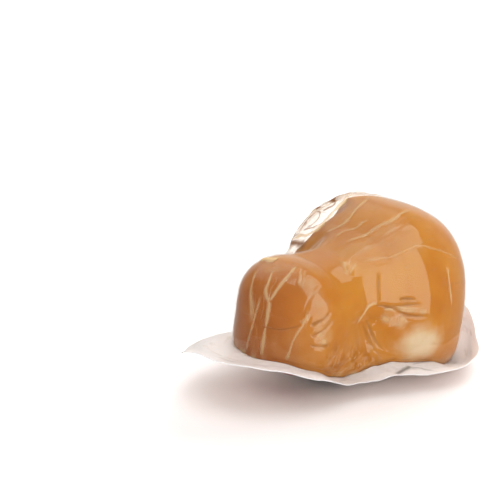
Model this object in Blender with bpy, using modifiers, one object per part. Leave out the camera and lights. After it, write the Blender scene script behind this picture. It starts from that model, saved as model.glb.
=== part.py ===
# Smoked scamorza, 250 g, sealed in a clear vacuum pack.
# The pear-shaped cheese sits in skin-tight clear film, on a white lid film whose rim is sealed round it.
# The pack lies on the rounded underside of the cheese and leans a little, with the small head raised.

import bpy
import bmesh
from math import cos, degrees, exp, pi, radians, sin, sqrt
from mathutils import Euler, Vector

MM = 0.001

# Cheese, in the pack's own frame: z = 0 is the lid film's plane, the head points along -X.
# Reach is the half width seen from above, measured from a spine that runs from body to head.
BODY_REACH = 34.8 * MM
HEAD_REACH = 22.6 * MM
SPINE_LENGTH = 44.6 * MM
BODY_TOP = 56.9 * MM
HEAD_TOP = 36.8 * MM
BODY_WAIST = 16.5 * MM          # height of the widest level
HEAD_WAIST = 14.6 * MM
ROUNDING = 2.5                  # superellipse exponent of the domes
NECK_BLEND = 8.6 * MM           # softness of the hollow between body and head
NECK_PLACE = 27.6 * MM          # from the body's middle, along the spine
NECK_SOFTNESS = 4.0 * MM
ROOT_DEPTH = 15.6 * MM          # how far below the lid the side walls would close

# Film stretched across the hollow neck: a share of the hollow is bridged, and more of it low down
BRIDGE_TOP = 23.0 * MM
BRIDGE_HIGH = 0.42
BRIDGE_LOW = 0.92

# Web of film that stands off the back of the neck, from shoulder to tip: turn in degrees, share of the dome
WEB_LINE = [(66, 0.13), (80, 0.25), (91, 0.36), (104, 0.46)]
WEB_HEIGHT = 4.0 * MM
WEB_WIDTH = 10.0                # degrees of turn
WEB_SHARE_WIDTH = 0.10

# Rim, going round from the head's tip (-180) by the front (-90) and the body's end (0):
# turn in degrees, height of the seal, width of the flange, upward curl in degrees
RIM = [
    (-180, 1.0 * MM, 19.5 * MM, 3),
    (-162, 1.2 * MM, 11.0 * MM, 9),
    (-150, -0.4 * MM, 9.0 * MM, 7),
    (-135, -2.9 * MM, 8.5 * MM, 8),
    (-119, -0.8 * MM, 9.0 * MM, 6),
    (-109, 1.6 * MM, 10.5 * MM, 17),
    (-98, 3.4 * MM, 10.5 * MM, 4),
    (-75, 5.0 * MM, 13.0 * MM, 6),
    (-57, 2.4 * MM, 15.0 * MM, 34),
    (-40, 1.0 * MM, 17.4 * MM, 56),
    (-20, 0.5 * MM, 22.8 * MM, 70),
    (10, 0.2 * MM, 21.5 * MM, 58),
    (45, 0.0 * MM, 12.5 * MM, 24),
    (90, 0.0 * MM, 10.5 * MM, 2),
    (130, 0.2 * MM, 12.5 * MM, -20),
    (155, 0.4 * MM, 17.0 * MM, -25),
]

# Underside: the lid film bulges down round the cheese and is pressed flat where it rests
BULGE = 8.8 * MM
BULGE_MIDDLE = -17.5 * MM       # deepest place on the spine
BULGE_RUN = 48.0 * MM
FLAT_DEPTH = 3.3 * MM
LID_THICKNESS = 0.6 * MM
GAP = 0.4 * MM                   # between the lid and what lies on it

# How the pack lies on the table
HEAD_RAISE = radians(9.1)
FRONT_DIP = radians(7.0)

# Mesh fineness
STATIONS = 92
DOME_RINGS = 25
UNDER_RINGS = 6                 # spine to seal, the same on the cheese and on the lid
FLANGE_RINGS = 6

BODY_SHARE = 0.40               # share of each half turn spent on the body's round end
SIDE_SHARE = 0.38               # and on the side between body and head
WALL_SHARE = 0.62               # share of a dome section above the widest level


def smooth(value):
    value = min(max(value, 0.0), 1.0)
    return value * value * (3 - 2 * value)


def soft_max(first, second, blend):
    overlap = max(blend - abs(first - second), 0.0) / blend
    return max(first, second) + overlap * overlap * blend / 4


def station(turn):
    # Where a turn round the pack leaves the spine: place on the spine and outward direction
    share = abs(turn) / pi
    body_angle = min(share / BODY_SHARE, 1.0) * pi / 2
    spine_x = -SPINE_LENGTH * min(max((share - BODY_SHARE) / SIDE_SHARE, 0.0), 1.0)
    head_share = 1 - BODY_SHARE - SIDE_SHARE
    head_angle = max((share - BODY_SHARE - SIDE_SHARE) / head_share, 0.0) * pi / 2
    angle = body_angle + head_angle
    side = -1.0 if turn < 0 else 1.0
    return spine_x, cos(angle), side * sin(angle)


def rim_value(turn, column):
    # Eased value between the two nearest rows of the rim's list
    at = degrees(turn)
    rows = RIM + [(RIM[0][0] + 360,) + RIM[0][1:]]
    for row, following in zip(rows, rows[1:]):
        if row[0] <= at <= following[0]:
            share = smooth((at - row[0]) / (following[0] - row[0]))
            return row[column] * (1 - share) + following[column] * share
    return RIM[0][column]


def along_spine(spine_x, body_value, head_value):
    # Two round lobes, joined by a soft hollow
    body = sqrt(max(1 - (spine_x / BODY_REACH) ** 2, 0.0)) * body_value
    head = sqrt(max(1 - ((spine_x + SPINE_LENGTH) / HEAD_REACH) ** 2, 0.0)) * head_value
    return soft_max(body, head, NECK_BLEND)


def waist_height(spine_x):
    toward_head = 1 / (1 + exp((spine_x + NECK_PLACE) / NECK_SOFTNESS))
    return BODY_WAIST * (1 - toward_head) + HEAD_WAIST * toward_head


def web_offset(turn, share):
    # Distance to the web's line, in widths, gives a narrow ridge that fades at its upper end
    at = degrees(turn)
    nearest = 9.0
    along = 0.0
    spans = len(WEB_LINE) - 1
    for number, (start, end) in enumerate(zip(WEB_LINE, WEB_LINE[1:])):
        step = Vector(((end[0] - start[0]) / WEB_WIDTH, (end[1] - start[1]) / WEB_SHARE_WIDTH))
        offset = Vector(((at - start[0]) / WEB_WIDTH, (share - start[1]) / WEB_SHARE_WIDTH))
        part = min(max(offset.dot(step) / step.length_squared, 0.0), 1.0)
        distance = (offset - step * part).length
        if distance < nearest:
            nearest = distance
            along = (number + part) / spans
    return WEB_HEIGHT * exp(-nearest * nearest) * smooth(along * 2 + 0.25) * smooth(share * 12)


def dome_point(turn, share):
    # Point of the film-covered cheese: share runs from the top's ridge (0) down to the seal (1)
    spine_x, out_x, out_y = station(turn)
    waist = waist_height(spine_x)
    seal = rim_value(turn, 1)
    if share < WALL_SHARE:
        angle = pi / 2 * (1 - share / WALL_SHARE)
        fill = max(cos(angle), 0.0) ** (2 / ROUNDING)
        rise = along_spine(spine_x, BODY_TOP - BODY_WAIST, HEAD_TOP - HEAD_WAIST)
        height = waist + rise * sin(angle) ** (2 / ROUNDING)
    else:
        drop = (share - WALL_SHARE) / (1 - WALL_SHARE)
        height = waist + (seal - waist) * drop
        depth = (waist - height) / (waist + ROOT_DEPTH)
        fill = (1 - depth ** ROUNDING) ** (1 / ROUNDING)
    own = along_spine(spine_x, BODY_REACH, HEAD_REACH)
    straight = max(BODY_REACH + (HEAD_REACH - BODY_REACH) * (-spine_x / SPINE_LENGTH), own)
    bridged = BRIDGE_HIGH + (BRIDGE_LOW - BRIDGE_HIGH) * smooth((BRIDGE_TOP - height) / BRIDGE_TOP)
    reach = (own * (1 - bridged) + straight * bridged) * fill + web_offset(turn, share)
    return Vector((spine_x + out_x * reach, out_y * reach, height))


def lid_point(turn, across):
    # Point of the lid film: 0 on the spine, 1 at the seal, 2 at the flange's outer edge
    spine_x, out_x, out_y = station(turn)
    seal = dome_point(turn, 1.0)
    if across <= 1:
        bulge = BULGE * (1 - ((spine_x - BULGE_MIDDLE) / BULGE_RUN) ** 2)
        spot = Vector((spine_x, 0, 0)).lerp(seal, across)
        spot.z = seal.z * across * across - bulge * (1 - across * across)
        return spot
    out = (across - 1) * UNDER_RINGS / FLANGE_RINGS
    width = rim_value(turn, 2) * out
    curl = radians(rim_value(turn, 3)) * out
    return seal + Vector((out_x * cos(curl), out_y * cos(curl), sin(curl))) * width


def wrapped_grid(rings, place):
    # A grid bent round the pack: one edge closes on itself, and lines that meet are welded
    shape = bmesh.new()
    bmesh.ops.create_grid(shape, x_segments=STATIONS, y_segments=rings, size=1)
    for corner in shape.verts:
        corner.co = place(corner.co.x * pi, (1 - corner.co.y) / 2)
    bmesh.ops.remove_doubles(shape, verts=shape.verts, dist=0.02 * MM)
    return shape


def lean(shape):
    bmesh.ops.rotate(shape, verts=shape.verts, matrix=Euler((FRONT_DIP, HEAD_RAISE, 0)).to_matrix())


def settle(shape, level):
    # The underside is pressed flat at the level of the table
    for corner in shape.verts:
        corner.co.z = max(corner.co.z, level)


def finish_object(name, shape, group, material):
    mesh = bpy.data.meshes.new(name)
    shape.to_mesh(mesh)
    shape.free()
    mesh.materials.append(material)
    piece = bpy.data.objects.new(name, mesh)
    group.objects.link(piece)
    return piece


def plain_material(name, colour, roughness, clearness=0.0):
    material = bpy.data.materials.new(name)
    material.use_nodes = True
    shader = material.node_tree.nodes["Principled BSDF"]
    shader.inputs["Base Color"].default_value = (*colour, 1)
    shader.inputs["Roughness"].default_value = roughness
    shader.inputs["Coat Weight"].default_value = clearness
    return material


def lid_film(group):
    rings = UNDER_RINGS + FLANGE_RINGS
    shape = wrapped_grid(rings, lambda turn, share: lid_point(turn, share * rings / UNDER_RINGS))
    lean(shape)
    lowest = min(corner.co.z for corner in shape.verts)
    level = lowest + FLAT_DEPTH
    settle(shape, level)
    bmesh.ops.recalc_face_normals(shape, faces=shape.faces)
    if sum(face.normal.z for face in shape.faces) < 0:
        bmesh.ops.reverse_faces(shape, faces=shape.faces)
    piece = finish_object("lid_film", shape, group, plain_material("white_lid_film", (0.80, 0.77, 0.75), 0.45))
    solid = piece.modifiers.new("film thickness", "SOLIDIFY")
    solid.thickness = LID_THICKNESS
    solid.offset = -1
    return piece, level


def cheese_in_film(group, level):
    under_share = UNDER_RINGS / (UNDER_RINGS + DOME_RINGS)

    def place(turn, share):
        if share <= 1 - under_share:
            spot = dome_point(turn, share / (1 - under_share))
        else:
            spot = lid_point(turn, (1 - share) / under_share)
        spot.z += GAP
        return spot

    shape = wrapped_grid(UNDER_RINGS + DOME_RINGS, place)
    lean(shape)
    settle(shape, level + GAP)
    bmesh.ops.recalc_face_normals(shape, faces=shape.faces)
    material = plain_material("smoked_rind_under_film", (0.60, 0.23, 0.04), 0.3, 1.0)
    return finish_object("cheese_in_film", shape, group, material)


def place_on_origin(pieces, level):
    # The origin is under the middle of the pack, on the table
    corners = [corner.co for piece in pieces for corner in piece.data.vertices]
    middle_x = (min(spot.x for spot in corners) + max(spot.x for spot in corners)) / 2
    middle_y = (min(spot.y for spot in corners) + max(spot.y for spot in corners)) / 2
    shift = Vector((-middle_x, -middle_y, LID_THICKNESS - level))
    for piece in pieces:
        for corner in piece.data.vertices:
            corner.co += shift
        piece.data.shade_smooth()
        piece.data.set_sharp_from_angle(angle=radians(50))


def main():
    for old in list(bpy.data.objects):
        bpy.data.objects.remove(old, do_unlink=True)
    group = bpy.data.collections.new("smoked_scamorza_pack")
    bpy.context.scene.collection.children.link(group)
    lid, level = lid_film(group)
    cheese = cheese_in_film(group, level)
    place_on_origin([cheese, lid], level)


main()
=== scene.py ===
from math import cos, pi, radians, sin, tan

import bmesh
import bpy
import numpy as np
from mathutils import Euler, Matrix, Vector


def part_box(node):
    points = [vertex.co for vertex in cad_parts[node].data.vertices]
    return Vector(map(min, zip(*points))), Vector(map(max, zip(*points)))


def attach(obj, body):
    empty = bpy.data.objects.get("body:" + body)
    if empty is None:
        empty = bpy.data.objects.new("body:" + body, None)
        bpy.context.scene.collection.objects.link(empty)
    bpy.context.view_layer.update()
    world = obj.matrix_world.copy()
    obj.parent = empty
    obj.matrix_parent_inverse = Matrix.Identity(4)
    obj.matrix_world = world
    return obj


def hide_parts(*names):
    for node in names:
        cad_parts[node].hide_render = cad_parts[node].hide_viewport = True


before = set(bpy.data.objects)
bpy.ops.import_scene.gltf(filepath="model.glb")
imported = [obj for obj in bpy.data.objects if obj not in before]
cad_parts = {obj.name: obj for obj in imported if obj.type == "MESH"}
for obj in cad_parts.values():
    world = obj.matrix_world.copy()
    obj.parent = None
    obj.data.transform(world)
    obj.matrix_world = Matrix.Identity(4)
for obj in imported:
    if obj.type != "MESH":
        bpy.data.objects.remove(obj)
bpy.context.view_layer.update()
mm = 0.001
noiseCells = 32         # the uneven values repeat after this many cells
farAway = 9.0           # counts as nowhere near, in metres, mm or widths
weldGap = 0.004 * mm    # points nearer than this are one

# The pear in the pack's own frame: z = 0 is the lid film's plane and the head points along -X
pear = {
    "bodyReach": 34.8 * mm, "headReach": 22.6 * mm, "spineLength": 44.6 * mm,
    "bodyTop": 56.9 * mm, "headTop": 36.8 * mm,
    "bodyWaist": 16.5 * mm, "headWaist": 14.6 * mm,
    "rounding": 2.5, "neckBlend": 8.6 * mm, "neckPlace": 27.6 * mm, "neckSoftness": 4.0 * mm,
    "rootDepth": 15.6 * mm, "bridgeTop": 23.0 * mm, "bridgeHigh": 0.42, "bridgeLow": 0.92,
    "bodyShare": 0.40, "sideShare": 0.38, "wallShare": 0.62,
    # The film's bridge over the neck: turns where it starts and ends, shares where it fades
    "shownBlend": 6.0 * mm, "shownBridge": 0.85, "shownStart": 60, "shownEnd": 170, "shownEndRun": 40,
    "shownFoot": 0.70, "shownFootRun": 0.25, "farSideShare": 0.2,
    "lump": (0.35 * mm, 13.0 * mm, 11),   # how uneven the hand-shaped curd is: height, size and seed
    "swell": 1.0 * mm, "swellFrom": -24.0 * mm, "swellRun": 20.0 * mm, "swellFoot": 0.2,
}

# Where the foot of the pear spreads or draws in: turn, its spread, reach, share where it starts, its run
heels = [(-42, 30, 2.4 * mm, 0.45, 0.5), (-146, 11, 1.6 * mm, 0.30, 0.6), (-195, 26, -1.5 * mm, 0.30, 0.5)]

# Flange, round from the head's tip by the shown side: turn, seal height, width, upward curl in degrees
rim = [
    (-180, 1.0 * mm, 19.5 * mm, 3), (-162, 2.7 * mm, 11.0 * mm, 1), (-150, 1.6 * mm, 9.0 * mm, -5),
    (-137, -1.4 * mm, 8.6 * mm, -2), (-127, -2.0 * mm, 8.7 * mm, 8), (-119, -0.3 * mm, 9.0 * mm, 3),
    (-109, 3.1 * mm, 10.5 * mm, 3), (-98, 5.1 * mm, 10.5 * mm, -6), (-75, 5.8 * mm, 13.0 * mm, 6),
    (-57, 3.2 * mm, 13.9 * mm, 31), (-40, 1.0 * mm, 16.5 * mm, 56), (-20, 0.5 * mm, 22.8 * mm, 70),
    (10, 0.2 * mm, 24.0 * mm, 62), (45, 0.0, 14.0 * mm, 30), (90, 0.0, 10.5 * mm, 2),
    (130, 0.2 * mm, 12.5 * mm, -20), (155, 0.4 * mm, 17.0 * mm, -25), (180, 1.0 * mm, 19.5 * mm, 3),
]

# How the pack lies, and how far its underside bulges
rest = {
    "headRaise": radians(9.1), "frontDip": radians(7.0),
    "bulge": 8.8 * mm, "bulgeMiddle": -17.5 * mm, "bulgeRun": 48.0 * mm, "lidGap": 0.4 * mm,
    "turnSteps": 93, "shareSteps": 61,   # how finely its extent is measured
}

# Tent of film that stands off the back of the neck: turn in degrees and share, from shoulder to tip
tent = {
    "line": [(66, 0.13), (80, 0.25), (91, 0.36), (104, 0.46)],
    "height": 4.0 * mm, "turnWidth": 10.0, "shareWidth": 0.10,
    "opening": 2.0, "openAtShoulder": 0.25, "ridgeRise": 12.0,
}


def ease(value):
    value = np.clip(value, 0.0, 1.0)
    return value * value * (3 - 2 * value)


def blendMax(first, second, blend):
    overlap = np.clip(blend - np.abs(first - second), 0.0, None) / blend
    return np.maximum(first, second) + overlap * overlap * blend / 4


# Soft hills and dents of the skin under the film: turn, share, radius and height
hills = [
    (-116, 0.14, 7.0 * mm, 0.8 * mm), (-106.5, 0.605, 4.0 * mm, 0.5 * mm), (-102, 0.61, 3.4 * mm, 0.2 * mm),
    (-151, 0.80, 7.0 * mm, 0.8 * mm), (110, 0.54, 4.2 * mm, -4.0 * mm), (76, 0.15, 8.0 * mm, 1.0 * mm),
]


def station(turn):
    # Place on the pear's spine and outward direction, for any turn round the pack
    turn = (turn + pi) % (2 * pi) - pi
    share = np.abs(turn) / pi
    past = share - pear["bodyShare"]
    spineX = -pear["spineLength"] * np.clip(past / pear["sideShare"], 0, 1)
    headShare = 1 - pear["bodyShare"] - pear["sideShare"]
    angle = np.clip(share / pear["bodyShare"], 0, 1) * pi / 2
    angle = angle + np.clip((past - pear["sideShare"]) / headShare, 0, 1) * pi / 2
    side = np.where(turn < 0, -1.0, 1.0)
    return spineX, np.cos(angle), side * np.sin(angle)


def rimValue(turn, column):
    at = np.degrees((turn + pi) % (2 * pi) - pi)
    value = np.zeros_like(at)
    for row, following in zip(rim, rim[1:]):
        inside = (at >= row[0]) & (at <= following[0])
        share = ease((at - row[0]) / (following[0] - row[0]))
        value = np.where(inside, row[column] * (1 - share) + following[column] * share, value)
    return value


def alongSpine(spineX, bodyValue, headValue, blend):
    fromHead = spineX + pear["spineLength"]
    body = np.sqrt(np.clip(1 - (spineX / pear["bodyReach"]) ** 2, 0, None)) * bodyValue
    head = np.sqrt(np.clip(1 - (fromHead / pear["headReach"]) ** 2, 0, None)) * headValue
    return blendMax(body, head, blend)


def domePoint(turn, share):
    # Skin of the pear: share 0 is the ridge on top, share 1 is where the films are sealed
    turn = (turn + pi) % (2 * pi) - pi
    spineX, outX, outY = station(turn)
    share = np.clip(share, 0, 1) + 0 * turn
    towardHead = 1 / (1 + np.exp((spineX + pear["neckPlace"]) / pear["neckSoftness"]))
    waist = pear["bodyWaist"] * (1 - towardHead) + pear["headWaist"] * towardHead
    seal = rimValue(turn, 1)
    power = 2 / pear["rounding"]
    angle = pi / 2 * np.clip(1 - share / pear["wallShare"], 0, 1)
    # The film bridges the neck's ridge and shown side down to the waist
    away = np.abs(np.degrees(turn))
    shown = ease(away / pear["shownStart"]) * ease((pear["shownEnd"] - away) / pear["shownEndRun"])
    shown = shown * np.where(turn < 0, 1.0, ease(1 - share / pear["farSideShare"]))
    shown = shown * ease((pear["shownFoot"] - share) / pear["shownFootRun"])
    blend = pear["neckBlend"] + pear["shownBlend"] * shown
    bodyRise, headRise = pear["bodyTop"] - pear["bodyWaist"], pear["headTop"] - pear["headWaist"]
    rise = alongSpine(spineX, bodyRise, headRise, blend)
    straight = np.maximum(bodyRise + (headRise - bodyRise) / -pear["spineLength"] * spineX, rise)
    rise = rise + (straight - rise) * shown * pear["shownBridge"]
    drop = np.clip((share - pear["wallShare"]) / (1 - pear["wallShare"]), 0, 1)
    height = waist + rise * np.sin(angle) ** power + (seal - waist) * drop
    depth = np.clip((waist - height) / (waist + pear["rootDepth"]), 0, 1)
    rootFill = (1 - depth ** pear["rounding"]) ** (1 / pear["rounding"])
    fill = np.clip(np.cos(angle), 0, None) ** power * rootFill
    own = alongSpine(spineX, pear["bodyReach"], pear["headReach"], blend)
    slope = (pear["headReach"] - pear["bodyReach"]) / -pear["spineLength"]
    straight = np.maximum(pear["bodyReach"] + slope * spineX, own)
    bridged = ease((pear["bridgeTop"] - height) / pear["bridgeTop"])
    bridged = pear["bridgeHigh"] + (pear["bridgeLow"] - pear["bridgeHigh"]) * bridged
    bridged = np.maximum(bridged, pear["shownBridge"] * shown)
    reach = (own * (1 - bridged) + straight * bridged) * fill
    reach = reach + heelReach(turn, share)
    return np.stack([spineX + outX * reach, outY * reach, height], -1)


def heelReach(turn, share):
    total = 0.0
    for middle, spread, reach, start, run in heels:
        away = (np.degrees(turn) - middle + 180) % 360 - 180
        total = total + reach * np.exp(-(away / spread) ** 2) * ease((share - start) / run)
    return total


def tentReach(turn, share, line=tent["line"], spread=1.0):
    # How far the tent stands out, a ridge that fades at its upper end
    widths = np.array([tent["turnWidth"], tent["shareWidth"]]) * spread
    spot = np.stack([np.degrees(turn), share], -1) / widths
    nearest = np.full(spot.shape[:-1], farAway)
    along = np.zeros(spot.shape[:-1])
    spans = len(line) - 1
    for number, (start, end) in enumerate(zip(line, line[1:])):
        step = (np.array(end) - start) / widths
        offset = spot - np.array(start) / widths
        part = np.clip(offset @ step / (step @ step), 0, 1)
        distance = np.linalg.norm(offset - part[..., None] * step, axis=-1)
        along = np.where(distance < nearest, (number + part) / spans, along)
        nearest = np.minimum(nearest, distance)
    opened = ease(along * tent["opening"] + tent["openAtShoulder"]) * ease(share * tent["ridgeRise"])
    return tent["height"] * np.exp(-nearest * nearest) * opened


def tentedPoint(turn, share):
    spineX, outX, outY = station(turn)
    out = np.stack([outX, outY, 0 * outX], -1)
    return domePoint(turn, share) + out * tentReach(turn, share)[..., None]


def lidPoint(turn, across):
    # Lid film: across 0 is under the spine, 1 is the seal and 2 is the outer edge
    spineX, outX, outY = station(turn)
    seal = domePoint(turn, 1.0)
    inner = np.clip(across, 0, 1) + 0 * turn
    bulge = rest["bulge"] * (1 - ((spineX - rest["bulgeMiddle"]) / rest["bulgeRun"]) ** 2)
    spot = np.stack([spineX + (seal[..., 0] - spineX) * inner, seal[..., 1] * inner,
        seal[..., 2] * inner ** 2 - bulge * (1 - inner ** 2)], -1)
    outer = np.clip(across - 1, 0, 1)
    width = (rimValue(turn, 2) - heelReach(turn, 1.0)) * outer
    curl = np.radians(rimValue(turn, 3)) * outer
    return spot + np.stack([outX * np.cos(curl), outY * np.cos(curl), np.sin(curl)], -1) * width[..., None]


leanOfPack = np.array(Euler((rest["frontDip"], rest["headRaise"], 0)).to_matrix())


def packShift():
    # Where the pack's frame lies in the part's: the leaned pear has to fill the CAD pear's box
    turn, share = np.meshgrid(np.linspace(-pi, pi, rest["turnSteps"]),
        np.linspace(0, 1, rest["shareSteps"]))
    points = tentedPoint(turn, share) + np.array([0, 0, rest["lidGap"]])
    leaned = points.reshape(-1, 3) @ leanOfPack.T
    low, high = (np.array(corner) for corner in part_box("cheese_in_film"))
    shift = (low + high - leaned.min(0) - leaned.max(0)) / 2
    shift[2] = high[2] - leaned[:, 2].max()
    return shift


shiftOfPack = packShift()


def layDown(points):
    return points @ leanOfPack.T + shiftOfPack


def latticeNoise(points, cell, seed):
    # Smooth uneven values from -1 to 1, with lumps about one cell wide
    dice = np.random.default_rng(seed).uniform(-1, 1, (noiseCells, noiseCells, noiseCells))
    spot = points / cell
    corner = np.floor(spot).astype(int)
    part = ease(spot - corner)
    total = np.zeros(len(points))
    for step in np.ndindex(2, 2, 2):
        index = (corner + step) % noiseCells
        weight = np.prod(np.where(np.array(step) == 1, part, 1 - part), axis=1)
        total += weight * dice[index[:, 0], index[:, 1], index[:, 2]]
    return total


def uneven(points, kind):
    height, size, seed = kind
    return height * latticeNoise(points, size, seed)


def wrappedMesh(name, columns, rows, place):
    # A sheet of quads wound round the pack, its ends joined and meeting points welded
    turn = np.linspace(-pi, pi, columns, endpoint=False)
    turns, shares = np.meshgrid(turn, np.linspace(0, 1, rows + 1))
    points = place(turns, shares).reshape(-1, 3)
    column, row = np.meshgrid(np.arange(columns), np.arange(rows))
    after = (column + 1) % columns
    quads = np.stack([row * columns + column, (row + 1) * columns + column, (row + 1) * columns + after,
        row * columns + after], -1).reshape(-1, 4)
    mesh = bpy.data.meshes.new(name)
    mesh.from_pydata(points.tolist(), [], quads.tolist())
    shape = bmesh.new()
    shape.from_mesh(mesh)
    turnLayer = shape.verts.layers.float.new("turn")
    shareLayer = shape.verts.layers.float.new("share")
    for corner, turnValue, shareValue in zip(shape.verts, turns.ravel(), shares.ravel()):
        corner[turnLayer] = turnValue
        corner[shareLayer] = shareValue
    bmesh.ops.remove_doubles(shape, verts=shape.verts, dist=weldGap)
    shape.to_mesh(mesh)
    shape.free()
    mesh.shade_smooth()
    piece = bpy.data.objects.new(name, mesh)
    bpy.context.scene.collection.objects.link(piece)
    return piece


def readValues(rows, field, width):
    values = np.zeros(len(rows) * width, np.float32)
    rows.foreach_get(field, values)
    return values.reshape(-1, width).astype(float)


def readMesh(mesh):
    # Points, the skin's outward directions, turns and shares
    points = readValues(mesh.vertices, "co", 3)
    normals = readValues(mesh.vertex_normals, "vector", 3)
    turn, share = (readValues(mesh.attributes[name].data, "value", 1)[:, 0] for name in ("turn", "share"))
    return points, normals, turn, share


def writeMesh(mesh, points, layers):
    mesh.vertices.foreach_set("co", points.astype(np.float32).ravel())
    mesh.update()
    for name, values in layers.items():
        layer = mesh.attributes.new(name, "FLOAT", "POINT")
        layer.data.foreach_set("value", np.asarray(values, np.float32))


def curveThrough(corners, steps=6):
    # Smooth curve through a few chosen places
    corners = np.asarray(corners, float)
    padded = np.vstack([2 * corners[0] - corners[1], corners, 2 * corners[-1] - corners[-2]])
    share = np.linspace(0, 1, steps, endpoint=False)[:, None]
    pieces = []
    for before, start, end, after in zip(padded, padded[1:], padded[2:], padded[3:]):
        pieces.append(0.5 * (2 * start + (end - before) * share
                             + (2 * before - 5 * start + 4 * end - after) * share ** 2
                             + (3 * start - before - 3 * end + after) * share ** 3))
    return np.vstack(pieces + [corners[-1:]])


def distanceToCurve(points, normals, curve, reach=4 * mm, flatten=0.9):
    # Distance along the skin to a curve that lies on it, how far along the curve that is, and on which side.
    # Flatten is how much of the height off the skin doesn't count
    nearest = np.full(len(points), farAway)
    along = np.zeros(len(points))
    side = np.ones(len(points))
    close = np.all((points > curve.min(0) - reach) & (points < curve.max(0) + reach), axis=1)
    spots, facing = points[close], normals[close]
    best, where, sign = nearest[close], along[close], side[close]
    spans = len(curve) - 1
    for number, (start, end) in enumerate(zip(curve, curve[1:])):
        step = end - start
        offset = spots - start
        part = np.clip(offset @ step / (step @ step), 0, 1)
        gap = offset - part[:, None] * step
        gap = gap - flatten * np.sum(gap * facing, 1)[:, None] * facing
        distance = np.sqrt(np.sum(gap * gap, 1))
        closer = distance < best
        best = np.where(closer, distance, best)
        where = np.where(closer, (number + part) / spans, where)
        sign = np.where(closer, np.sign(np.sum(np.cross(step, gap) * facing, 1)), sign)
    nearest[close], along[close], side[close] = best, where, sign
    return nearest, along, side


def skinPlaces(places):
    turns = np.radians(np.array([place[0] for place in places], float))
    return domePoint(turns, np.array([place[1] for place in places], float))


def distanceToPlaces(spots, normals, places, reach=4 * mm):
    return distanceToCurve(spots, normals, curveThrough(skinPlaces(places)), reach)


def skinLumps(points):
    lumps = uneven(points, pear["lump"])
    for turn, share, radius, height in hills:
        gap = np.linalg.norm(points - skinPlaces([(turn, share)])[0], axis=1)
        lumps = lumps + height * np.exp(-(gap / radius) ** 2)
    onBody = ease((points[:, 0] - pear["swellFrom"]) / pear["swellRun"])
    return lumps + pear["swell"] * onBody * ease(points[:, 2] / pear["bodyWaist"] - pear["swellFoot"])


print("shape functions ready")

# Cheese. A place on the skin is (turn in degrees, share)
scamorza = {
    "columns": 420, "domeRows": 120, "underRows": 36,
    "inset": 0.35 * mm, "edgeInset": 0.6 * mm, "edgeShare": 0.04,
    "wrinkle": (0.08 * mm, 3.2 * mm, 3), "floorGap": 0.7 * mm,
    "hollowLine": [(76, 0.20), (84, 0.27), (91, 0.33)], "hollowDepth": 5.8 * mm, "hollowSpread": 1.55,
    # The pale cream patch low on the body's shown side is a painted reflection of the white table
    "tableReflectionPlace": (-85.5, 0.745), "tableReflectionAcross": 10.0 * mm, "tableReflectionHigh": 7.6 * mm, "tableReflectionEdge": 1.4,
    "headToneStart": -48.0 * mm, "headToneFull": -67.0 * mm,
}


def buildScamorza():
    own = scamorza
    rows = own["domeRows"] + own["underRows"]
    domeShare = own["domeRows"] / rows

    def place(turn, share):
        upper = domePoint(turn, share / domeShare)
        lower = lidPoint(turn, np.clip((1 - share) / (1 - domeShare), 0, 1))
        lower[..., 2] += rest["lidGap"]
        return np.where((share <= domeShare)[..., None], upper, lower)

    piece = wrappedMesh("scamorza", own["columns"], rows, place)
    points, normals, turn, share = readMesh(piece.data)
    edge = np.exp(-((share - domeShare) / own["edgeShare"]) ** 2)
    relief = skinLumps(points) - own["inset"] + uneven(points, own["wrinkle"])
    # The tent of film stands clear of a hollow in the cheese
    onDome = np.clip(share / domeShare, 0, 1)
    hollow = tentReach(turn, onDome, own["hollowLine"], own["hollowSpread"])
    relief -= own["hollowDepth"] * hollow / tent["height"]
    relief = np.where(share > domeShare, np.minimum(relief, 0), relief) * (1 - edge)
    spineX, outX, outY = station(turn)
    inward = np.stack([-outX, -outY, 0 * outX], -1) * (edge * own["edgeInset"])[:, None]
    # The rind is darker towards the head end
    headToneRun = own["headToneFull"] - own["headToneStart"]
    headTone = ease((points[:, 0] - own["headToneStart"]) / headToneRun)
    # Painted reflection of the white table: a soft cream patch low on the body
    gap = points - skinPlaces([own["tableReflectionPlace"]])[0]
    tableReflection = (np.hypot(gap[:, 0], gap[:, 1]) / own["tableReflectionAcross"]) ** 2
    tableReflection = np.exp(-(tableReflection + (gap[:, 2] / own["tableReflectionHigh"]) ** 2) ** own["tableReflectionEdge"])
    laid = layDown(points + normals * relief[:, None] + inward)
    laid[:, 2] = np.maximum(laid[:, 2], own["floorGap"])
    writeMesh(piece.data, laid, {"headTone": headTone, "tableReflection": tableReflection})
    return piece


cheese = buildScamorza()
print("cheese:", len(cheese.data.polygons), "faces")

# Lid film, a thin printed sheet under the pack that sticks out all round as the flange
lidFilm = {
    "columns": 400, "innerRows": 40, "flangeRows": 30,
    "thickness": 0.25 * mm, "floorGap": 0.55 * mm,
    # Waves grow with the distance from the seal, fine crinkles soon after it
    "wave": (0.45 * mm, 11.0 * mm, 61), "waveRise": 1.2,
    "crinkle": (0.12 * mm, 2.6 * mm, 62), "crinkleRise": 6,
    "creaseFade": 5, "ringSteps": 721,
}

# Painted shade in the creases of the flange's kink: places (turn in degrees, across), half width in mm and
# darkness
lidKinkShades = [
    ([(-109, 1.9), (-104, 1.75), (-100.5, 1.65), (-96.5, 1.5), (-92, 1.25)], 0.8, 0.75),
    ([(-98, 1.55), (-90.5, 1.47), (-88.5, 1.66), (-85, 1.78)], 0.4, 0.45),
    ([(-91, 1.2), (-82, 1.05), (-72, 1.06)], 0.4, 0.4),
]


def flangeWaves(points, outward):
    # The same waves lift the lid film and the clear film sealed to it
    waves = uneven(points, lidFilm["wave"]) * ease(outward * lidFilm["waveRise"])
    waves += uneven(points, lidFilm["crinkle"]) * ease(outward * lidFilm["crinkleRise"])
    return np.stack([0 * waves, 0 * waves, waves], -1)


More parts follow.
